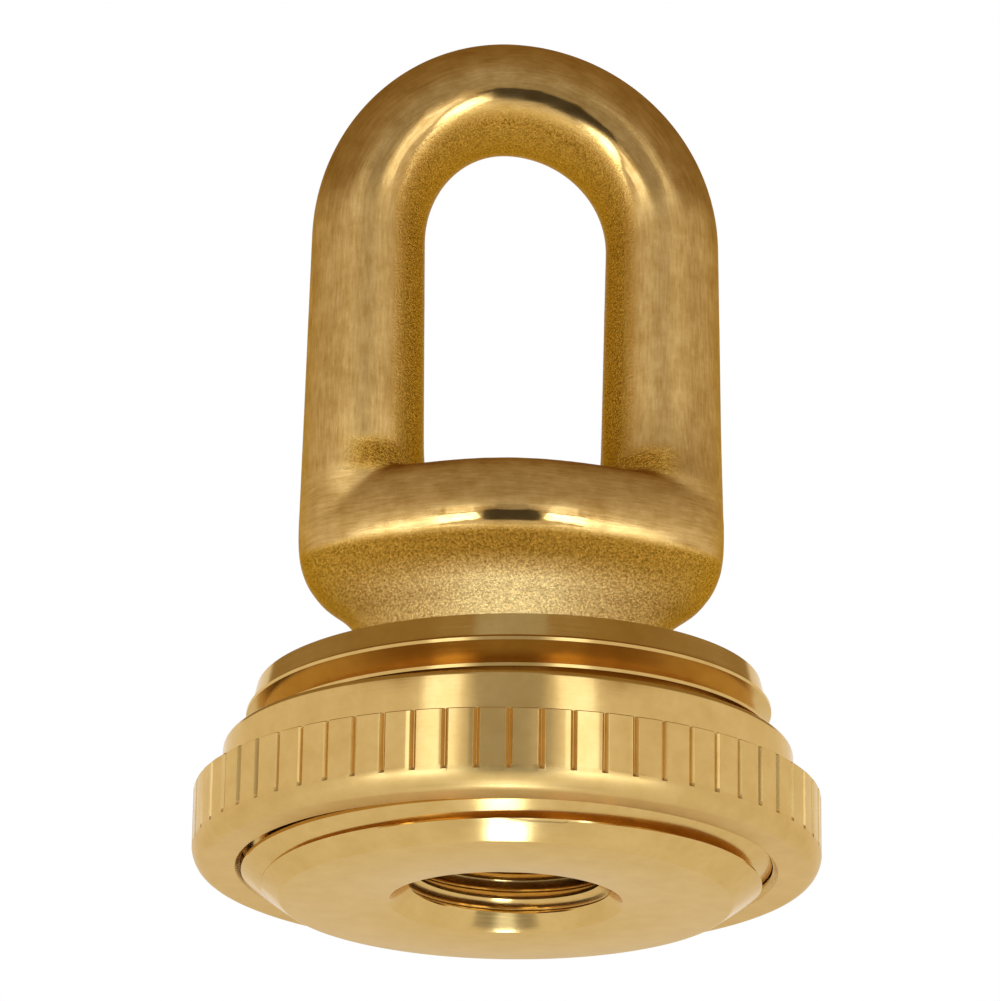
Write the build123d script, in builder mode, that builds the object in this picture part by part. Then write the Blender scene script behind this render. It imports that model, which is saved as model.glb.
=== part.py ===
import os
from math import atan2, degrees

from build123d import *

# Sizes in millimetres, in the standing frame: z = 0 is the flat end of the collar, +Z runs up to
# the bow, and the bow lies in the XZ plane.

# Screw thread between the collar and the ring: one inch, twenty threads to the inch.
THREAD_MAJOR_R = 12.70

# Collar: the turned, threaded foot of the casting. Its end cone and its plain rim are both set
# in from the thread's crests.
COLLAR_CONE_RUN = 1.85
COLLAR_CONE_Z = 1.30
COLLAR_RIM_STEP = 0.45
COLLAR_RIM_LOW_Z = 9.95
COLLAR_TOP_Z = 10.35
COLLAR_RIM_ROUND = 0.25

# Hole tapped one eighth inch pipe size from below, and the smaller wireway on into the eye.
TAP_WALL_R = 4.57
TAP_MOUTH_R = 5.63
TAP_DEPTH = 9.0
WIREWAY_R = 2.5

# Base: an oval bun under both legs of the bow, narrowing to a neck on the collar. Its sides are
# upright, its front and back lean in above a round edge and are coved to the neck below it.
# Each oval section is its half width, its half depth and its height.
NECK_FOOT = (7.30, 4.06, 10.0)
NECK_MID = (7.20, 4.00, 12.0)
NECK_TOP = (7.75, 4.12, 13.7)
LOW_CORNER = (9.10, 4.40, 14.8)
LOW_SHOULDER = (10.10, 4.95, 16.3)
UNDER_EDGE = (10.36, 5.55, 17.2)
FRONT_EDGE = (10.42, 5.80, 17.9)
BASE_WAIST = (10.44, 5.64, 19.0)
TOP_SHOULDER = (10.25, 5.35, 20.2)
TOP_EDGE = (9.50, 5.05, 20.95)
NECK_ROOT_FILLET = 0.8
TOP_EDGE_ROUND = 0.6

# Bow: a round bar bent to a tall arch, a little thicker where the legs run into the base.
BAR_R = 2.83
LEG_FOOT_R = 3.05
LEG_SINK = 1.95
LEG_SPACING = 14.75
SPRING_Z = 33.88
CROWN_RISE = 8.0
CROWN_OFFSET = -0.40
CREASE_FILLET = 0.6

# Ring: the turned nut that runs on the collar. Each radius is set out from the one inside it.
RING_BORE_CLEARANCE = 0.05
RING_SHOULDER_WALL = 1.00
RING_BAND_STEP = 1.35
RING_LOW_ROUND = 0.70
RING_LOW_Z = 1.48
RING_LOW_RIM_Z = 2.50
RING_BAND_TOP_Z = 5.20
RING_TOP_Z = 7.45
RING_BORE_CHAMFER = 0.25
RING_SHOULDER_ROUND = 0.30
RING_BAND_CHAMFER = 0.12

# Grip: narrow axial cuts round the band, stopping above its smooth lower rim.
FLUTE_COUNT = 64
FLUTE_WIDTH = 0.42
FLUTE_DEPTH = 0.35
FLUTE_LOW_Z = 2.30

os.makedirs("parts", exist_ok=True)

COLLAR_FLAT_R = THREAD_MAJOR_R - COLLAR_CONE_RUN
COLLAR_RIM_R = THREAD_MAJOR_R - COLLAR_RIM_STEP
BASE_TOP_Z = TOP_EDGE[2]
LEG_FOOT_Z = BASE_TOP_Z - LEG_SINK
HALF_SPACING = LEG_SPACING / 2
LEG_TAPER = degrees(atan2(LEG_FOOT_R - BAR_R, SPRING_Z - LEG_FOOT_Z))
RING_BORE_R = THREAD_MAJOR_R + RING_BORE_CLEARANCE
RING_SHOULDER_R = RING_BORE_R + RING_SHOULDER_WALL
RING_R = RING_SHOULDER_R + RING_BAND_STEP
RING_LOW_R = RING_R - RING_LOW_ROUND

# The oval base and its neck, drawn through ovals from the collar up to the edge of its top.
with BuildPart() as bun:
    for half_width, half_depth, height in (
        NECK_FOOT, NECK_MID, NECK_TOP, LOW_CORNER, LOW_SHOULDER,
        UNDER_EDGE, FRONT_EDGE, BASE_WAIST, TOP_SHOULDER, TOP_EDGE,
    ):
        with BuildSketch(Plane.XY.offset(height)):
            Ellipse(half_width, half_depth)
    loft()

# The loop is one casting, turned and threaded on its foot: collar, neck, base and bow.
with BuildPart() as loop:
    with BuildSketch(Plane.XZ):
        with BuildLine():
            Polyline(
                (0, 0),
                (COLLAR_FLAT_R, 0),
                (THREAD_MAJOR_R, COLLAR_CONE_Z),
                (THREAD_MAJOR_R, COLLAR_RIM_LOW_Z),
                (COLLAR_RIM_R, COLLAR_RIM_LOW_Z),
                (COLLAR_RIM_R, COLLAR_TOP_Z),
                (0, COLLAR_TOP_Z),
                close=True,
            )
        make_face()
    revolve(axis=Axis.Z)
    collar_rim = loop.edges().filter_by(GeomType.CIRCLE).sort_by(Axis.Z)[-1]
    fillet(collar_rim, COLLAR_RIM_ROUND)
    add(bun.part)
    collar_top_edges = loop.edges().filter_by_position(Axis.Z, COLLAR_TOP_Z, COLLAR_TOP_Z)
    fillet(collar_top_edges.sort_by(SortBy.LENGTH)[0], NECK_ROOT_FILLET)
    top_edge = loop.faces().sort_by(Axis.Z)[-1].edges()
    fillet(top_edge, TOP_EDGE_ROUND)
    # The legs stand in the base, and their upper ends match the bar of the arch.
    with BuildSketch(Plane.XY.offset(LEG_FOOT_Z)):
        with GridLocations(LEG_SPACING, 0, 2, 1):
            Circle(LEG_FOOT_R)
    extrude(amount=SPRING_Z - LEG_FOOT_Z, taper=LEG_TAPER)
    leg_roots = loop.edges().filter_by_position(Axis.Z, BASE_TOP_Z, BASE_TOP_Z)
    fillet(leg_roots.filter_by(GeomType.CIRCLE), CREASE_FILLET)
    # The arch is two quarter ovals that meet level at the crown.
    with BuildLine(Plane.XZ) as crown_path:
        EllipticalCenterArc(
            (CROWN_OFFSET, SPRING_Z), HALF_SPACING + CROWN_OFFSET, CROWN_RISE,
            start_angle=180, arc_size=-90,
        )
        EllipticalCenterArc(
            (CROWN_OFFSET, SPRING_Z), HALF_SPACING - CROWN_OFFSET, CROWN_RISE,
            start_angle=90, arc_size=-90,
        )
    with BuildSketch(Plane.XY.offset(SPRING_Z)):
        with Locations((-HALF_SPACING, 0)):
            Circle(BAR_R)
    sweep(path=crown_path.wires()[0])
    # The wireway is drilled through first; the tapped hole then opens it from below.
    with BuildSketch(Plane.XY):
        Circle(WIREWAY_R)
    extrude(amount=BASE_TOP_Z, mode=Mode.SUBTRACT)
    with BuildSketch(Plane.XY):
        Circle(TAP_WALL_R)
    extrude(amount=TAP_DEPTH, mode=Mode.SUBTRACT)
    tap_mouth = loop.faces().sort_by(Axis.Z)[0].edges().sort_by(SortBy.LENGTH)[0]
    chamfer(tap_mouth, TAP_MOUTH_R - TAP_WALL_R)
loop.part.label = "loop"
export_step(loop.part, "parts/loop.step")

# The ring is one turning: a wide grip band with a rounded lower rim, and a smaller shoulder above.
with BuildPart() as ring:
    with BuildSketch(Plane.XZ):
        with BuildLine():
            TangentArc(
                (RING_R, RING_LOW_RIM_Z), (RING_LOW_R, RING_LOW_Z), tangent=(0, -1),
            )
            Polyline(
                (RING_R, RING_LOW_RIM_Z),
                (RING_R, RING_BAND_TOP_Z),
                (RING_SHOULDER_R, RING_BAND_TOP_Z),
                (RING_SHOULDER_R, RING_TOP_Z),
                (RING_BORE_R + RING_BORE_CHAMFER, RING_TOP_Z),
                (RING_BORE_R, RING_TOP_Z - RING_BORE_CHAMFER),
                (RING_BORE_R, RING_LOW_Z + RING_BORE_CHAMFER),
                (RING_BORE_R + RING_BORE_CHAMFER, RING_LOW_Z),
                (RING_LOW_R, RING_LOW_Z),
            )
        make_face()
    revolve(axis=Axis.Z)
    shoulder_edges = ring.edges().filter_by_position(Axis.Z, RING_TOP_Z, RING_TOP_Z)
    fillet(shoulder_edges.sort_by(SortBy.LENGTH)[-1], RING_SHOULDER_ROUND)
    band_edges = ring.edges().filter_by_position(Axis.Z, RING_BAND_TOP_Z, RING_BAND_TOP_Z)
    chamfer(band_edges.sort_by(SortBy.LENGTH)[-1], RING_BAND_CHAMFER)
    with Locations(Plane.XY.offset(FLUTE_LOW_Z)):
        with PolarLocations(RING_R, FLUTE_COUNT):
            Box(
                2 * FLUTE_DEPTH, FLUTE_WIDTH, RING_TOP_Z - FLUTE_LOW_Z,
                align=(Align.CENTER, Align.CENTER, Align.MIN),
                mode=Mode.SUBTRACT,
            )
ring.part.label = "ring"
export_step(ring.part, "parts/ring.step")
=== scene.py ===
import math

import bmesh
import bpy
import numpy as np
from mathutils import Matrix, Vector


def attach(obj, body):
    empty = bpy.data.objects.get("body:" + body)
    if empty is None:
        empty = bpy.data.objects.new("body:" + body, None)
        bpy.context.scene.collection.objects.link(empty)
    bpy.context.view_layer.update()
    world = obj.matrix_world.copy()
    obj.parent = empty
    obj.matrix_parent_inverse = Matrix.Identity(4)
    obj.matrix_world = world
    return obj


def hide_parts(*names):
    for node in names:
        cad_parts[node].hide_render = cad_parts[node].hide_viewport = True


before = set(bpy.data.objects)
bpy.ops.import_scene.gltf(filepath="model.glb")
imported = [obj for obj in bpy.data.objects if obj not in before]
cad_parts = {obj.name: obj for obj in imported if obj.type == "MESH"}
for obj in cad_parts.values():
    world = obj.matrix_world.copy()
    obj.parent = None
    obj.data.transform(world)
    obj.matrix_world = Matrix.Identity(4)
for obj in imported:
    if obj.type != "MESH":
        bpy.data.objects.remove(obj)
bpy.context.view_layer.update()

# The loop casting: a round bow on an oval base with a short neck, poured in brass as one piece,
# broken out of a sand mould and tumbled smooth on all the faces that the stones could reach.
# Its foot is turned, so the turned collar is shown by the next section's piece.
MM = 0.001  # All sizes of the part are given in millimetres.
BAR_R = 2.83
LEG_FOOT_R = 3.05
LEG_FOOT_Z = 19.0
LEG_SINK = 0.8
HALF_SPACING = 7.375
SPRING_Z = 33.88
CROWN_RISE = 8.0
CROWN_OFFSET = -0.40
# The crease where a leg meets the base: how far it flares and how tall it is.
CREASE_FLARE = 0.35
CREASE_TALL = 0.6
# The bow stands a little turned on its base. The turn begins in the base and is full 8 mm higher.
BOW_TURN = 4.5
TURN_FROM_Z = 17.0
TURN_TALL = 8.0
WIREWAY_R = 2.5
DRILL_LOW_Z, DRILL_HIGH_Z = 5, 25
# The ovals of the neck and base from below: half width, half depth and height.
BASE_SECTIONS = (
    (7.90, 4.70, 10.15), (7.45, 4.30, 10.75), (7.24, 4.06, 11.40), (7.20, 4.00, 12.20),
    (7.38, 4.04, 13.10), (8.00, 4.18, 14.00), (9.10, 4.44, 14.80), (9.80, 4.76, 15.65),
    (10.12, 5.08, 16.30), (10.28, 5.36, 16.80), (10.37, 5.60, 17.30), (10.41, 5.75, 17.75),
    (10.43, 5.80, 18.15), (10.44, 5.74, 18.70), (10.42, 5.56, 19.45), (10.26, 5.33, 20.20),
    (9.85, 5.12, 20.66), (9.10, 4.80, 20.96), (8.60, 4.50, 21.00),
)
BASE_TOP_Z = 21.0
BASE_DRAWN_IN = 0.485
CAST_VOXEL = 0.16


def smooth_through(points, count):
    """A Catmull-Rom curve: between two points, a cubic whose slope at each of them is half the
    chord between that point's neighbours."""
    p = np.asarray(points, float)
    p = np.vstack([2 * p[0] - p[1], p, 2 * p[-1] - p[-2]])
    t = np.linspace(0, len(points) - 1 - 1e-9, count)
    k = t.astype(int)
    f = (t - k)[:, None]
    a, b, c, d = p[k], p[k + 1], p[k + 2], p[k + 3]
    bend = (2 * a - 5 * b + 4 * c - d) * f**2
    twist = (3 * b - a - 3 * c + d) * f**3
    return 0.5 * (2 * b + (c - a) * f + bend + twist)


def surface(name, points, close_rows=False, cap_ends=False, close_cols=True):
    """A mesh over a grid of points in mm, rows by columns: each cell is a quad. Columns join round
    unless told not to, rows join round if asked, and each end row is closed to its centre if asked.
    Every vertex keeps the length of the profile up to its row, the tool's path on a turned piece."""
    rows, cols = points.shape[:2]
    flat = points.reshape(-1, 3) * MM
    r = np.arange(rows if close_rows else rows - 1)[:, None]
    c = np.arange(cols if close_cols else cols - 1)[None, :]
    quads = np.stack(
        [r * cols + c, r * cols + (c + 1) % cols,
         (r + 1) % rows * cols + (c + 1) % cols, (r + 1) % rows * cols + c], -1,
    ).reshape(-1, 4)
    mesh = bpy.data.meshes.new(name)
    if cap_ends:
        flat = np.vstack([flat, flat[:cols].mean(0), flat[-cols:].mean(0)])
        ring = np.arange(cols)
        ends = np.concatenate([
            np.stack([np.roll(ring, -1), ring, np.full(cols, rows * cols)], -1),
            np.stack([(rows - 1) * cols + ring, (rows - 1) * cols + np.roll(ring, -1),
                      np.full(cols, rows * cols + 1)], -1),
        ])
    else:
        ends = np.zeros((0, 3), int)
    corners = np.concatenate([quads.ravel(), ends.ravel()]).astype(np.int32)
    starts = np.concatenate([
        np.arange(len(quads)) * 4, len(quads) * 4 + np.arange(len(ends)) * 3,
    ]).astype(np.int32)
    mesh.vertices.add(len(flat))
    mesh.vertices.foreach_set("co", flat.astype(np.float32).ravel())
    mesh.loops.add(len(corners))
    mesh.loops.foreach_set("vertex_index", corners)
    mesh.polygons.add(len(starts))
    mesh.polygons.foreach_set("loop_start", starts)
    mesh.update(calc_edges=True)
    profile = np.stack([np.hypot(points[..., 0], points[..., 1]), points[..., 2]], -1).mean(1)
    path = np.concatenate([[0], np.cumsum(np.linalg.norm(np.diff(profile, axis=0), axis=1))])
    passes = np.concatenate([np.repeat(path, cols), np.zeros(len(flat) - rows * cols)])
    path_of = mesh.attributes.new("tool_path", "FLOAT", "POINT").data
    path_of.foreach_set("value", passes.astype(np.float32))
    return mesh


def piece_of(name, mesh):
    """A new object of that name, which holds the mesh."""
    piece = bpy.data.objects.new(name, mesh)
    bpy.context.scene.collection.objects.link(piece)
    return piece


def clean(mesh, merge_mm):
    """Merges points that coincide, drops what has no area and turns every face outwards."""
    work = bmesh.new()
    work.from_mesh(mesh)
    bmesh.ops.remove_doubles(work, verts=work.verts, dist=merge_mm * MM)
    bmesh.ops.dissolve_degenerate(work, edges=work.edges, dist=merge_mm * MM)
    bmesh.ops.recalc_face_normals(work, faces=work.faces)
    work.to_mesh(mesh)
    work.free()


def apply_modifiers(piece):
    """Gives the piece the mesh that its modifiers make, and drops them."""
    graph = bpy.context.evaluated_depsgraph_get()
    mesh = bpy.data.meshes.new_from_object(piece.evaluated_get(graph))
    piece.modifiers.clear()
    piece.data = mesh


def ease_step(value):
    """Nothing below 0, one above 1, and between them three squares less two cubes."""
    t = np.clip(value, 0, 1)
    return t * t * (3 - 2 * t)


def bow_points(steps=150, around=56):
    """A circle carried along the bow's centre line, which is two straight legs and two quarter
    ovals. The circle lies across the line, shrinks evenly up each leg and flares at the crease."""
    turn = np.linspace(0, math.pi, steps)
    untumbled_and_shade_fac = np.where(turn < math.pi / 2, HALF_SPACING + CROWN_OFFSET, HALF_SPACING - CROWN_OFFSET)
    arch = np.stack([CROWN_OFFSET - untumbled_and_shade_fac * np.cos(turn), SPRING_Z + CROWN_RISE * np.sin(turn)], -1)
    up = np.linspace(LEG_FOOT_Z - LEG_SINK, SPRING_Z, 60)[:-1]
    left = np.stack([np.full_like(up, -HALF_SPACING), up], -1)
    line = np.vstack([left, arch, left[::-1] * [-1, 1]])
    along = np.gradient(line, axis=0)
    along /= np.linalg.norm(along, axis=1)[:, None]
    drop = np.clip((SPRING_Z - line[:, 1]) / (SPRING_Z - LEG_FOOT_Z), 0, None)
    radius = BAR_R + (LEG_FOOT_R - BAR_R) * drop
    flare = CREASE_FLARE * np.exp(-np.abs(line[:, 1] - BASE_TOP_Z) / CREASE_TALL)
    a = np.linspace(0, 2 * math.pi, around, endpoint=False)
    out = np.stack([-along[:, 1], along[:, 0]], -1)
    radius = radius[:, None] + flare[:, None] * (1 - np.cos(a)) / 2
    x = line[:, 0, None] + radius * out[:, 0, None] * np.cos(a)
    z = line[:, 1, None] + radius * out[:, 1, None] * np.cos(a)
    y = radius * np.sin(a)
    turned = math.radians(BOW_TURN) * ease_step((z - TURN_FROM_Z) / TURN_TALL)
    x, y = x * np.cos(turned) - y * np.sin(turned), x * np.sin(turned) + y * np.cos(turned)
    return np.stack([x, y, z], -1)


def base_points(around=160):
    """Ovals stacked up the base: each has its own half width and half depth, eased between sections.
    Either side of its middle, the front is drawn in a little, so that it is rounder than an ellipse."""
    section = smooth_through(BASE_SECTIONS, 140)
    a = np.linspace(0, 2 * math.pi, around, endpoint=False)
    x = section[:, 0, None] * np.cos(a)
    y = section[:, 1, None] * np.sin(a) * (1 - BASE_DRAWN_IN * np.cos(a) ** 2 * np.sin(a) ** 2)
    return np.stack([x, y, section[:, 2, None] + 0 * x], -1)


def upright(radius, low, high, around=96):
    """A plain cylinder's wall between two heights."""
    a = np.linspace(0, 2 * math.pi, around, endpoint=False)
    z = np.array([low, high])[:, None]
    return np.stack([radius * np.cos(a) + 0 * z, radius * np.sin(a) + 0 * z, z + 0 * a], -1)


base = piece_of("base", surface("base", base_points(), cap_ends=True))
clean(base.data, 0.001)
drill_points = upright(WIREWAY_R, DRILL_LOW_Z, DRILL_HIGH_Z)
drill = piece_of("drill", surface("drill", drill_points, cap_ends=True))
clean(drill.data, 0.001)
cut = base.modifiers.new("wireway", "BOOLEAN")
cut.operation = "DIFFERENCE"
cut.solver = "EXACT"
cut.object = drill
apply_modifiers(base)
bpy.data.objects.remove(drill)

casting = piece_of("casting", surface("casting", bow_points(), cap_ends=True))
clean(casting.data, 0.001)
both = bmesh.new()
both.from_mesh(casting.data)
both.from_mesh(base.data)
both.to_mesh(casting.data)
both.free()
bpy.data.objects.remove(base)
skin = casting.modifiers.new("skin", "REMESH")
skin.mode = "VOXEL"
skin.voxel_size = CAST_VOXEL * MM
ease = casting.modifiers.new("tumbled", "SMOOTH")
ease.factor = 0.5
ease.iterations = 10
apply_modifiers(casting)


def linear(hex_colour):
    """An sRGB hex colour as linear red, green, blue and alpha."""
    s = np.array([int(hex_colour[i:i + 2], 16) / 255 for i in (1, 3, 5)])
    c = np.where(s <= 0.04045, s / 12.92, ((s + 0.055) / 1.055) ** 2.4)
    return (*c, 1.0)


def add(material, kind, links=None, **settings):
    """Adds one node: settings go on its own attributes or its input sockets, links feed its inputs."""
    node = material.node_tree.nodes.new(kind)
    for key, value in settings.items():
        if hasattr(node, key):
            setattr(node, key, value)
        else:
            node.inputs[key.replace("_", " ")].default_value = value
    for socket, source in (links or {}).items():
        material.node_tree.links.new(source, node.inputs[socket])
    return node


def new_material(name):
    """An empty node material."""
    material = bpy.data.materials.new(name)
    material.use_nodes = True
    material.node_tree.nodes.clear()
    return material


# Cast yellow brass, tumbled: a dull satin skin scratched along the bow by the stones, polished on
# the edges that stood out, and grainy and bright-specked where the stones could not reach.
cast_brass = new_material("cast_brass_tumbled")
where = add(cast_brass, "ShaderNodeTexCoord").outputs["Object"]
untumbled_and_shade_fac = add(cast_brass, "ShaderNodeAttribute", attribute_name="untumbled_and_shade").outputs["Fac"]
worn = add(cast_brass, "ShaderNodeAttribute", attribute_name="worn").outputs["Fac"]
lay = add(cast_brass, "ShaderNodeAttribute", attribute_name="lay").outputs["Vector"]
# Scratches 0.1 mm wide and 1 mm long; the lay attribute is in mm, shortened tenfold along the bow.
scratch = add(
    cast_brass, "ShaderNodeTexNoise", {"Vector": lay}, Scale=8.0, Detail=4.0, Roughness=0.7,
)
# Sand grain of 0.12 mm, and stains 1.2 mm across.
grain = add(
    cast_brass, "ShaderNodeTexNoise", {"Vector": where},
    Scale=1 / (0.12 * MM), Detail=4.0, Roughness=0.7,
)
broad = add(
    cast_brass, "ShaderNodeTexNoise", {"Vector": where},
    Scale=1 / (1.2 * MM), Detail=5.0, Roughness=0.65,
)
stain = add(
    cast_brass, "ShaderNodeMath", {0: broad.outputs["Fac"], 1: scratch.outputs["Fac"]},
    operation="ADD",
)
stain = add(cast_brass, "ShaderNodeMapRange", {"Value": stain.outputs[0]})
stain.inputs["From Min"].default_value = 0.70
stain.inputs["From Max"].default_value = 1.30
tone = add(cast_brass, "ShaderNodeMix", {"Factor": stain.outputs[0]}, data_type="RGBA")
tone.inputs[6].default_value = linear("#AA8040")
tone.inputs[7].default_value = linear("#D0A968")
# Skin that the stones did not reach is a deeper yellow, and on the bow's inward faces that tone is also
# painted shade. The cove over the neck has a painted pool of light: a pale tone in its middle.
tone = add(cast_brass, "ShaderNodeMix", {"Factor": untumbled_and_shade_fac, 6: tone.outputs[2]}, data_type="RGBA")
tone.inputs[7].default_value = linear("#CF9C3E")
painted_cove_light = add(cast_brass, "ShaderNodeAttribute", attribute_name="painted_cove_light").outputs["Fac"]
tone = add(cast_brass, "ShaderNodeMix", {"Factor": painted_cove_light, 6: tone.outputs[2]}, data_type="RGBA")
tone.inputs[7].default_value = linear("#F8D68E")
# Where it is grainy, the hollows of the grain stay dark; inside the bow these dark hollows are also
# painted shade.
grain_and_shade = add(cast_brass, "ShaderNodeAttribute", attribute_name="grain_and_shade").outputs["Fac"]
hollow = add(cast_brass, "ShaderNodeMapRange", {"Value": grain.outputs["Fac"]})
hollow.inputs["From Min"].default_value = 0.60
hollow.inputs["From Max"].default_value = 0.36
hollow = add(
    cast_brass, "ShaderNodeMath", {0: hollow.outputs[0], 1: grain_and_shade}, operation="MULTIPLY",
)
tone = add(
    cast_brass, "ShaderNodeMix", {"Factor": hollow.outputs[0], 6: tone.outputs[2]},
    data_type="RGBA",
)
tone.inputs[7].default_value = linear("#96691F")
# Satin all over, smoother where it is polished, and specked with small bright facets in the grain.
rough = add(cast_brass, "ShaderNodeMapRange", {"Value": worn})
rough.inputs["To Min"].default_value = 0.46
rough.inputs["To Max"].default_value = 0.10
sparkle = add(cast_brass, "ShaderNodeMix", {0: untumbled_and_shade_fac, 2: rough.outputs[0]}, data_type="FLOAT")
sparkle.inputs[3].default_value = 0.24
calm = add(cast_brass, "ShaderNodeMapRange", {"Value": worn})
calm.inputs["To Min"].default_value = 0.35
calm.inputs["To Max"].default_value = 0.03
scored = add(
    cast_brass, "ShaderNodeBump", {"Height": scratch.outputs["Fac"], "Strength": calm.outputs[0]},
)
scored.inputs["Distance"].default_value = 0.03 * MM
sandy = add(
    cast_brass, "ShaderNodeBump",
    {"Height": grain.outputs["Fac"], "Strength": grain_and_shade, "Normal": scored.outputs[0]},
)
sandy.inputs["Distance"].default_value = 0.13 * MM
skin_shader = add(
    cast_brass, "ShaderNodeBsdfPrincipled",
    {"Base Color": tone.outputs[2], "Roughness": sparkle.outputs[0], "Normal": sandy.outputs[0]},
    Metallic=1.0, Specular_Tint=linear("#D8BC84"),
)
add(cast_brass, "ShaderNodeOutputMaterial", {"Surface": skin_shader.outputs[0]})

mesh = casting.data
co = np.zeros(len(mesh.vertices) * 3, np.float32)
mesh.vertices.foreach_get("co", co)
x, y, z = (co / MM).reshape(-1, 3).T
no = np.zeros(len(mesh.vertices) * 3, np.float32)
mesh.vertices.foreach_get("normal", no)
facing_x, facing_y, facing_z = no.reshape(-1, 3).T
# Where tumbling did not reach: under the base's edge, inside the bow, and the corners at its feet.
# On the bow's inward faces, where the legs face each other, this mask also paints shade.
UNREACHED_Z = 17.35
CORNER_X, CORNER_Z = 6.2, 21.6
OVER_BASE_Z = 20.5
low = np.clip((UNREACHED_Z - 0.001 * x**2 - z) / 0.4, 0, 1)
arch_up = np.clip(z - SPRING_Z, 0, None)
# Painted shade: the bow's faces that turn inward get the deeper tone and dark grain hollows.
inward = -(facing_x * x + facing_z * arch_up) / np.hypot(x, arch_up).clip(1, None)
inside = np.clip((inward - 0.42) / 0.30, 0, 1) * (z > OVER_BASE_Z)
corner = np.exp(-(((np.abs(x) - CORNER_X) / 1.7) ** 4 + ((z - CORNER_Z) / 0.8) ** 4))
untumbled_and_shade = np.clip(np.maximum.reduce([low, inside, corner]), 0, 1)
# In the middle of the cove the tone is paled as a painted pool of light, and the grain is shallower
# there.
COVE_Z = 16.2
painted_cove_light = 0.9 * np.clip((COVE_Z - z) / 1.3, 0, 1) * np.clip(1.25 - np.abs(x) / 7.5, 0, 1)
grain_and_shade = untumbled_and_shade * (1 - 0.55 * painted_cove_light)
# Polished: the base's front edge, less so to its sides, and the crown where it faces down a little.
EDGE_Z, EDGE_HALF_TALL = 17.45, 0.78
CROWN_FROM_Z = 34.5
CROWN_TILT, CROWN_TILT_RANGE = 12, 22
edge = np.exp(-((z - EDGE_Z) / EDGE_HALF_TALL) ** 8)
edge = edge * (1 - 0.45 * np.clip((np.abs(x) - 3.4) / 0.8, 0, 1))
tilt = np.degrees(np.arcsin(np.clip(-facing_z, -1, 1)))
crown = np.exp(-((tilt - CROWN_TILT) / CROWN_TILT_RANGE) ** 2)
crown = crown * np.clip((z - CROWN_FROM_Z) / 2.0, 0, 1)
worn = np.maximum(edge, crown) * np.clip((np.abs(facing_y) - 0.35) / 0.3, 0, 1)
# The lay of the scratches: round the bar and shortened along it, and level on the base.
LAY_CHANGE_Z = 20.8
LAY_SHORTENED = 0.1
legs = z < SPRING_Z
across = np.where(legs, np.abs(x), np.hypot(x, z - SPRING_Z)) - HALF_SPACING
down = np.where(x > 0, z - SPRING_Z, math.pi * HALF_SPACING + SPRING_Z - z)
along = np.where(legs, down, np.arctan2(z - SPRING_Z, x) * HALF_SPACING)
on_bow = np.stack([across, y, along * LAY_SHORTENED], -1)
on_base = np.stack([x * LAY_SHORTENED, y * LAY_SHORTENED, z], -1)
lay = np.where((z > LAY_CHANGE_Z)[:, None], on_bow, on_base)
for name, values in (("untumbled_and_shade", untumbled_and_shade), ("painted_cove_light", painted_cove_light), ("grain_and_shade", grain_and_shade), ("worn", worn)):
    mesh.attributes.new(name, "FLOAT", "POINT").data.foreach_set("value", values.astype(np.float32))
lay_of = mesh.attributes.new("lay", "FLOAT_VECTOR", "POINT").data
lay_of.foreach_set("vector", lay.astype(np.float32).ravel())
mesh.polygons.foreach_set("use_smooth", np.ones(len(mesh.polygons), bool))
mesh.materials.clear()
mesh.materials.append(cast_brass)
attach(casting, "loop")
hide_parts("loop")

# The collar: the foot of the same brass casting, turned to a flat face and an end cone, then cut
# with a one inch, twenty to the inch screw thread outside and an eighth inch pipe thread inside.
THREAD_R = 12.70
THREAD_PITCH = 1.27
THREAD_DEPTH = 0.96
# Each pitch of the thread is drawn with 16 rows: 2 on its crest, 7 on each flank.
THREAD_CUTS = 16
CREST_CUTS, FLANK_CUTS = 2, 7
FLAT_R = 10.85
CONE_Z = 1.30
TOP_CREST_Z = 9.16
TOP_FACE_Z = 10.35
# The rim over the top crest is a little higher to the right; it steps in over the crest's land
# and then leans in.
RIM_R = 12.50
RIM_TOP_Z = 10.58
RIM_TILT = 0.25
RIM_LAND = 0.16
RIM_STEP = 0.16
RIM_LEAN = 0.28
# At the back, the thread under the top crest runs out over these degrees.
RUNOUT_FROM, RUNOUT_LONG = 120, 60
TAP_R = 4.57
TAP_MOUTH_R = 5.63
TAP_PITCH = 25.4 / 27
# Each pitch of the tapped thread is drawn with 12 rows, and starts a tenth of a pitch up.
TAP_CUTS = 12
TAP_START = 0.10
TAP_DEPTH = 9.0
TAP_GROOVE = 0.52
COLUMNS = 288


def collar_thread_radius(angle, z):
    """Height above the top crest's lower edge, in pitches, gives the place in the thread: crest,
    falling flank, root, rising flank. The top crest is narrow, and over it the rim steps in and leans
    in evenly to its top. At the back, the thread under it runs out into the same rim."""
    turned = np.degrees(angle + math.pi / 2)
    edge = TOP_CREST_Z + THREAD_PITCH * turned / 360
    place = np.mod((z - edge) / THREAD_PITCH, 1)
    flank = FLANK_CUTS / THREAD_CUTS
    fall = (place - CREST_CUTS / THREAD_CUTS) / flank
    rise = (place - (1 - flank)) / flank
    radius = THREAD_R - THREAD_DEPTH * np.clip(np.minimum(fall, 1 - rise), 0, 1)
    rim_top = RIM_TOP_Z + RIM_TILT * np.cos(angle)

    def rim(low):
        up = z - low - RIM_LAND
        lean = RIM_LEAN * np.clip(up / (rim_top - low - RIM_LAND), 0, 1)
        return THREAD_R - (THREAD_R - RIM_R) * np.clip(up / RIM_STEP, 0, 1) - lean

    radius = np.where(z > edge, rim(edge), radius)
    runout = ease_step((turned - RUNOUT_FROM) / RUNOUT_LONG)
    low_edge = edge - THREAD_PITCH
    return np.where(z > low_edge, radius + (rim(low_edge) - radius) * runout, radius)


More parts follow.
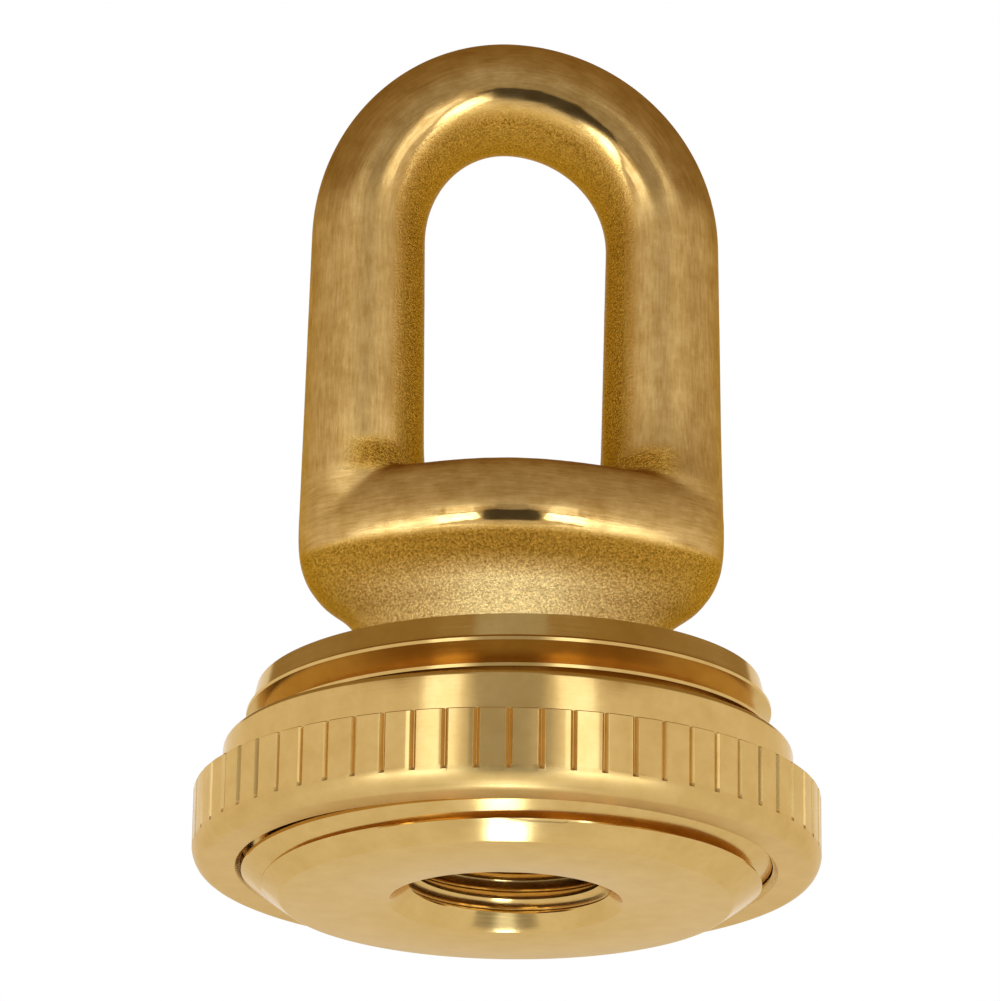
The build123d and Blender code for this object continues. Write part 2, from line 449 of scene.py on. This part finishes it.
def tap_thread_radius(angle, z):
    """Crests at the hole's own radius and vee grooves cut outwards from it, on a right-hand helix."""
    climb = (angle + math.pi / 2) / (2 * math.pi)
    groove = 1 - np.abs(np.mod(z / TAP_PITCH - climb - TAP_START, 1) - 0.5) / 0.40
    return TAP_R + TAP_GROOVE * np.clip(groove * 1.15, 0, 1)


def collar_points():
    """Rows of radius and height for every angle, in one closed loop: up the end cone and the outer
    thread, over the rim, in to the wireway, down it, and back down the tapped wall to its mouth.
    Rows in a thread slope with its helix, and rows past either end lie on the end itself."""
    angle = np.linspace(-1.5 * math.pi, 0.5 * math.pi, COLUMNS + 1)
    climb = (angle + math.pi / 2) / (2 * math.pi)
    rim_top = RIM_TOP_Z + RIM_TILT * np.cos(angle)
    rows = []

    def row(radius, z):
        rows.append((radius + 0 * angle, z + 0 * angle))

    row(TAP_MOUTH_R + 0.04, 0)
    row((TAP_MOUTH_R + FLAT_R) / 2, 0)
    row(FLAT_R - 0.06, 0)
    row(FLAT_R, 0.01)
    slope = CONE_Z / (THREAD_R - FLAT_R)
    root_r = THREAD_R - THREAD_DEPTH
    row(FLAT_R + 0.06, 0.06 * slope)
    low_z = (root_r - FLAT_R) * slope - 0.02
    turns = (RIM_TOP_Z + RIM_TILT - low_z) / THREAD_PITCH
    thread_rows = int(math.ceil(turns * THREAD_CUTS)) + 2 * THREAD_CUTS + 4
    first = TOP_CREST_Z - math.ceil((TOP_CREST_Z - low_z) / THREAD_PITCH + 1) * THREAD_PITCH
    for k in range(thread_rows):
        z = np.clip(first + k * THREAD_PITCH / THREAD_CUTS + THREAD_PITCH * climb, low_z, rim_top)
        cone_r = FLAT_R + z / slope
        rows.append((np.minimum(collar_thread_radius(angle, z), cone_r), z))
    row(RIM_R - RIM_LEAN - 0.10, rim_top)
    row(11.2, TOP_FACE_Z)
    row(WIREWAY_R + 0.3, TOP_FACE_Z)
    row(WIREWAY_R, TOP_FACE_Z)
    row(WIREWAY_R, TAP_DEPTH)
    row(TAP_R, TAP_DEPTH)
    tap_rows = int(math.ceil(TAP_DEPTH / TAP_PITCH * TAP_CUTS)) + 2 * TAP_CUTS
    for k in range(tap_rows, -1, -1):
        z = (k / TAP_CUTS - 1 + TAP_START) * TAP_PITCH + TAP_PITCH * climb
        z = np.clip(z, 0.25, TAP_DEPTH)
        mouth_r = TAP_MOUTH_R - z
        rows.append((np.maximum(tap_thread_radius(angle, z), mouth_r), z))
    row(TAP_MOUTH_R - 0.03, 0.03)
    row(TAP_MOUTH_R, 0.008)
    r = np.array([a for a, _ in rows])
    z = np.array([b for _, b in rows])
    return np.stack([r * np.cos(angle), r * np.sin(angle), z], -1)


def ribbon(name, points):
    """A grid whose last column already lies on its first, and whose rows join round."""
    mesh = surface(name, points, close_rows=True, close_cols=False)
    clean(mesh, 0.004)
    return mesh


# Turned yellow brass: brighter than the cast skin, with fine circular tool marks.
turned_brass = new_material("turned_brass")
where = add(turned_brass, "ShaderNodeTexCoord").outputs["Object"]
path = add(turned_brass, "ShaderNodeAttribute", attribute_name="tool_path").outputs["Fac"]
drift = add(turned_brass, "ShaderNodeVectorMath", {0: where}, operation="SCALE", Scale=20.0)
marks_at = add(turned_brass, "ShaderNodeCombineXYZ", {"X": path})
marks_at = add(
    turned_brass, "ShaderNodeVectorMath", {0: marks_at.outputs[0], 1: drift.outputs[0]},
    operation="ADD",
)
# Tool marks 0.05 mm apart, drawn at 0.09 mm so that they show. They drift a little on their way
# round, and the tool's path is in mm.
marks = add(
    turned_brass, "ShaderNodeTexNoise", {"Vector": marks_at.outputs[0]},
    Scale=1 / 0.09, Detail=2.0, Roughness=0.5,
)
cloud = add(
    turned_brass, "ShaderNodeTexNoise", {"Vector": where},
    Scale=1 / (1.6 * MM), Detail=6.0, Roughness=0.7,
)
tone = add(turned_brass, "ShaderNodeMix", {"Factor": cloud.outputs["Fac"]}, data_type="RGBA")
tone.inputs[6].default_value = linear("#BE964F")
tone.inputs[7].default_value = linear("#DCB978")
rough = add(turned_brass, "ShaderNodeMapRange", {"Value": marks.outputs["Fac"]})
rough.inputs["To Min"].default_value = 0.14
rough.inputs["To Max"].default_value = 0.22
# Where it was milled or is dull from use, it shines less.
dull = add(turned_brass, "ShaderNodeAttribute", attribute_name="dull").outputs["Fac"]
rough = add(turned_brass, "ShaderNodeMix", {0: dull, 2: rough.outputs[0]}, data_type="FLOAT")
rough.inputs[3].default_value = 0.42
bump = add(turned_brass, "ShaderNodeBump", {"Height": marks.outputs["Fac"]}, Strength=0.06)
bump.inputs["Distance"].default_value = 0.02 * MM
round_it = add(turned_brass, "ShaderNodeTangent", direction_type="RADIAL", axis="Z")
turned_shader = add(
    turned_brass, "ShaderNodeBsdfPrincipled",
    {"Base Color": tone.outputs[2], "Roughness": rough.outputs[0], "Normal": bump.outputs[0],
     "Tangent": round_it.outputs[0]},
    Metallic=1.0, Anisotropic=0.6, Anisotropic_Rotation=0.25, Specular_Tint=linear("#FAEFD8"),
)
add(turned_brass, "ShaderNodeOutputMaterial", {"Surface": turned_shader.outputs[0]})


def shade_by_angle(piece, degrees):
    """Smooth shading, with every edge sharper than the angle kept crisp."""
    mesh = piece.data
    mesh.polygons.foreach_set("use_smooth", np.ones(len(mesh.polygons), bool))
    work = bmesh.new()
    work.from_mesh(mesh)
    limit = math.radians(degrees)
    for edge in work.edges:
        edge.smooth = len(edge.link_faces) == 2 and edge.calc_face_angle(0) < limit
    work.to_mesh(mesh)
    work.free()


collar = piece_of("collar", ribbon("collar", collar_points()))
shade_by_angle(collar, 28)
collar.data.materials.append(turned_brass)
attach(collar, "loop")
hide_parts("loop")

# The ring: a nut turned from brass bar, its grip band cut with narrow axial flutes that stop above
# the smooth lower rim, with a smaller plain shoulder over it. It screws on the collar.
RING_R = 15.10
RING_LOW_Z = 1.48
RING_LOW_R = 14.40
RING_LOW_RIM_Z = 2.50
RING_BAND_TOP_Z = 5.20
RING_TOP_Z = 7.45
RING_SHOULDER_R = 13.75
RING_BORE_R = 12.75
SHOULDER_ROUND = 0.30
BORE_CHAMFER = 0.25
BAND_CHAMFER = 0.12
FLUTES = 64
FLUTE_WIDE = 0.30
FLUTE_DEEP = 0.22
LAND_TILT = 0.012
FLUTE_LOW_Z = 2.30


def ring_points():
    """The ring's profile carried round the axis, and how dull each point is. Inside the band's
    height, the radius drops in each flute to a vee, and each land between two flutes leans a little
    to one side."""
    half = FLUTE_WIDE / 2 / RING_R
    gap = 2 * math.pi / FLUTES
    cell = np.concatenate([
        [-half * 1.04, -half, -half * 0.5, -half * 0.08, half * 0.08, half * 0.5, half, half * 1.04],
        np.linspace(half * 1.3, gap - half * 1.3, 6),
    ])
    angle = (np.arange(FLUTES)[:, None] * gap + cell).ravel()
    away = np.abs((angle + gap / 2) % gap - gap / 2) / half
    cut_depth = FLUTE_DEEP * np.clip(1.0 - away, 0, 0.92)
    lean = np.random.default_rng(4).normal(0, LAND_TILT, FLUTES)
    side = np.clip((cell - gap / 2) / (gap / 2 - half), -1, 1) * (cell > half)
    cut_depth = cut_depth + np.abs(lean).max() + (lean[:, None] * side).ravel() * (away >= 1)
    arc = np.linspace(0, math.pi / 2, 9)
    low_in = RING_R - RING_LOW_R
    low_up = RING_LOW_RIM_Z - RING_LOW_Z
    rim = np.stack([RING_LOW_R + low_in * np.sin(arc), RING_LOW_RIM_Z - low_up * np.cos(arc)], -1)
    top = np.linspace(0, math.pi / 2, 7)
    shoulder = np.stack([
        RING_SHOULDER_R - SHOULDER_ROUND * (1 - np.cos(top)),
        RING_TOP_Z - SHOULDER_ROUND * (1 - np.sin(top)),
    ], -1)
    profile = np.vstack([
        [(RING_BORE_R + BORE_CHAMFER, RING_LOW_Z), (RING_LOW_R - 0.15, RING_LOW_Z)],
        rim,
        [(RING_R, z) for z in (2.52, 3.2, 4.2, RING_BAND_TOP_Z - 0.13)],
        [(RING_R - 0.02, RING_BAND_TOP_Z - 0.06), (RING_R - BAND_CHAMFER, RING_BAND_TOP_Z)],
        [(RING_R - 0.45, RING_BAND_TOP_Z), (RING_SHOULDER_R + 0.03, RING_BAND_TOP_Z)],
        [(RING_SHOULDER_R, RING_BAND_TOP_Z + 0.04), (RING_SHOULDER_R, 6.2)],
        shoulder,
        [(RING_BORE_R + BORE_CHAMFER, RING_TOP_Z), (RING_BORE_R, RING_TOP_Z - BORE_CHAMFER)],
        [(RING_BORE_R, 6.0), (RING_BORE_R, 3.0), (RING_BORE_R, RING_LOW_Z + BORE_CHAMFER)],
    ])
    r = profile[:, 0, None] + 0 * angle
    z = profile[:, 1, None] + 0 * angle
    in_band = (r > RING_R - 0.13) & (z > FLUTE_LOW_Z + 0.15)
    r = np.where(in_band, np.minimum(r, RING_R - cut_depth), r)
    in_rim = (z < FLUTE_LOW_Z + 0.15) & (r > RING_BORE_R + 0.2)
    dull = np.where(in_band & (away < 1.2), 1.0, 0.7 * in_rim)
    return np.stack([r * np.cos(angle), r * np.sin(angle), z], -1), dull


nut_points, dull = ring_points()
ring = piece_of("ring_nut", surface("ring_nut", nut_points, close_rows=True))
dull_of = ring.data.attributes.new("dull", "FLOAT", "POINT").data
dull_of.foreach_set("value", dull.astype(np.float32).ravel())
clean(ring.data, 0.001)
shade_by_angle(ring, 28)
ring.data.materials.append(turned_brass)
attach(ring, "ring")
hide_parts("ring")

# The studio: a camera that looks up at the part, a white surround, and a pale floor well under the
# part. Soft lamps and grey cards stand round the camera, out of its sight, for the brass to mirror.
camera_data = bpy.data.cameras.new("camera")
camera_data.sensor_width = 36
camera_data.lens = 180
camera = bpy.data.objects.new("camera", camera_data)
bpy.context.scene.collection.objects.link(camera)
# The camera stands 240 mm away and 14.9 degrees below the part, tilted up by 19.5 degrees.
away = 240.0
lift = math.radians(14.9)
pitch = math.radians(19.5)
roll = math.radians(0.89)
right = Vector((1, 0, 0))
forward = Vector((0, math.cos(pitch), math.sin(pitch)))
upward = Vector((0, -math.sin(pitch), math.cos(pitch)))
tilted_right = right * math.cos(roll) + upward * math.sin(roll)
tilted_up = upward * math.cos(roll) - right * math.sin(roll)
place = Vector((-0.58, -away * math.cos(lift), -away * math.sin(lift))) * MM
turn = Matrix((tilted_right, tilted_up, -forward)).transposed()
camera.matrix_world = Matrix.Translation(place) @ turn.to_4x4()
bpy.context.scene.camera = camera
bpy.context.scene.view_settings.view_transform = "Standard"

world = bpy.data.worlds.new("surround")
bpy.context.scene.world = world
world.use_nodes = True
world.node_tree.nodes.clear()
sky = add(world, "ShaderNodeBackground", Color=(1, 1, 1, 1), Strength=1.0)
add(world, "ShaderNodeOutputWorld", {"Surface": sky.outputs[0]})


# The flash lamps are a little cooler than the white surround, so brass glints nearly white.
FLASH_COLOUR = (0.60, 0.75, 1.0)
# Lamps and cards stand round a point 15 mm above the collar's end, and face it.
AIM = Vector((0, 0, 0.015))


def toward(azimuth, height):
    """The direction from the part to a stand in the studio, azimuth measured from the camera's side."""
    a, e = math.radians(azimuth), math.radians(height)
    return Vector((math.sin(a) * math.cos(e), -math.cos(a) * math.cos(e), math.sin(e)))


def set_up(item, azimuth, height, distance_mm):
    """Stands a lamp or a card at its place, square to the part, out of the camera's sight."""
    back = toward(azimuth, height)
    item.location = back * distance_mm * MM + AIM
    item.rotation_mode = "QUATERNION"
    item.rotation_quaternion = back.to_track_quat("Z", "Y")
    item.visible_camera = False


def lamp(name, azimuth, height, distance_mm, wide_mm, tall_mm, radiance):
    """A soft rectangular lamp facing the part. Its power is its area times pi times its radiance."""
    data = bpy.data.lights.new(name, "AREA")
    data.shape = "RECTANGLE"
    data.size, data.size_y = wide_mm * MM, tall_mm * MM
    data.energy = radiance * math.pi * data.size * data.size_y
    data.color = FLASH_COLOUR
    item = bpy.data.objects.new(name, data)
    bpy.context.scene.collection.objects.link(item)
    set_up(item, azimuth, height, distance_mm)


# Two tall lamps either side of the camera, two below them and two further round, then two small
# ones on the floor under the part, one of them in front.
lamp("left_lamp", -26.3, 17, 500, 126, 270, 1.7)
lamp("right_lamp", 26.3, 17, 500, 126, 270, 1.7)
lamp("left_low_lamp", -28, -8, 400, 130, 100, 7.0)
lamp("right_low_lamp", 28, -8, 400, 130, 100, 7.0)
lamp("left_side_lamp", -46, -8, 400, 40, 90, 9.0)
lamp("right_side_lamp", 46, -8, 400, 40, 90, 9.0)
lamp("table_lamp", 180, -89.5, 110, 14, 14, 22.0)
lamp("front_table_lamp", 0, -67, 130, 30, 46, 3.2)

# Grey cards: a tall one behind the camera, a nearly black one round its lens, a small one under
# the part, and a dim, warm roof.
for name, colour, level, azimuth, height, distance, wide, tall in (
    ("tall_card", "#FFFFFF", 0.55, 0, 22, 440, 220, 560),
    ("lens_card", "#FFFFFF", 0.10, 0, -9, 430, 240, 230),
    ("low_card", "#FFFFFF", 0.16, 0, -80, 103, 66, 16),
    ("roof_card", "#FFDC96", 0.37, 180, 89, 420, 1500, 1500),
):
    w, h = wide / 2 * MM, tall / 2 * MM
    card_mesh = bpy.data.meshes.new(name)
    card_mesh.from_pydata([(-w, -h, 0), (w, -h, 0), (w, h, 0), (-w, h, 0)], [], [(0, 1, 2, 3)])
    card = piece_of(name, card_mesh)
    grey = new_material(name)
    glow = add(grey, "ShaderNodeEmission", Color=linear(colour), Strength=level)
    add(grey, "ShaderNodeOutputMaterial", {"Surface": glow.outputs[0]})
    card_mesh.materials.append(grey)
    set_up(card, azimuth, height, distance)
    card.visible_shadow = False
    card.visible_diffuse = False

# The floor is seen from above only, so that the part can be looked at from under it too.
FLOOR_Z = -0.13
FLOOR_HALF = 3
floor_mesh = bpy.data.meshes.new("floor")
floor_mesh.from_pydata(
    [(-FLOOR_HALF, -FLOOR_HALF, FLOOR_Z), (FLOOR_HALF, -FLOOR_HALF, FLOOR_Z),
     (FLOOR_HALF, FLOOR_HALF, FLOOR_Z), (-FLOOR_HALF, FLOOR_HALF, FLOOR_Z)],
    [], [(0, 1, 2, 3)],
)
floor = piece_of("floor", floor_mesh)
pale = new_material("pale_floor")
matt = add(pale, "ShaderNodeBsdfDiffuse", Color=linear("#F6F6F4"))
clear = add(pale, "ShaderNodeBsdfTransparent")
under = add(pale, "ShaderNodeNewGeometry").outputs["Backfacing"]
one_sided = add(pale, "ShaderNodeMixShader", {0: under, 1: matt.outputs[0], 2: clear.outputs[0]})
add(pale, "ShaderNodeOutputMaterial", {"Surface": one_sided.outputs[0]})
floor.data.materials.append(pale)
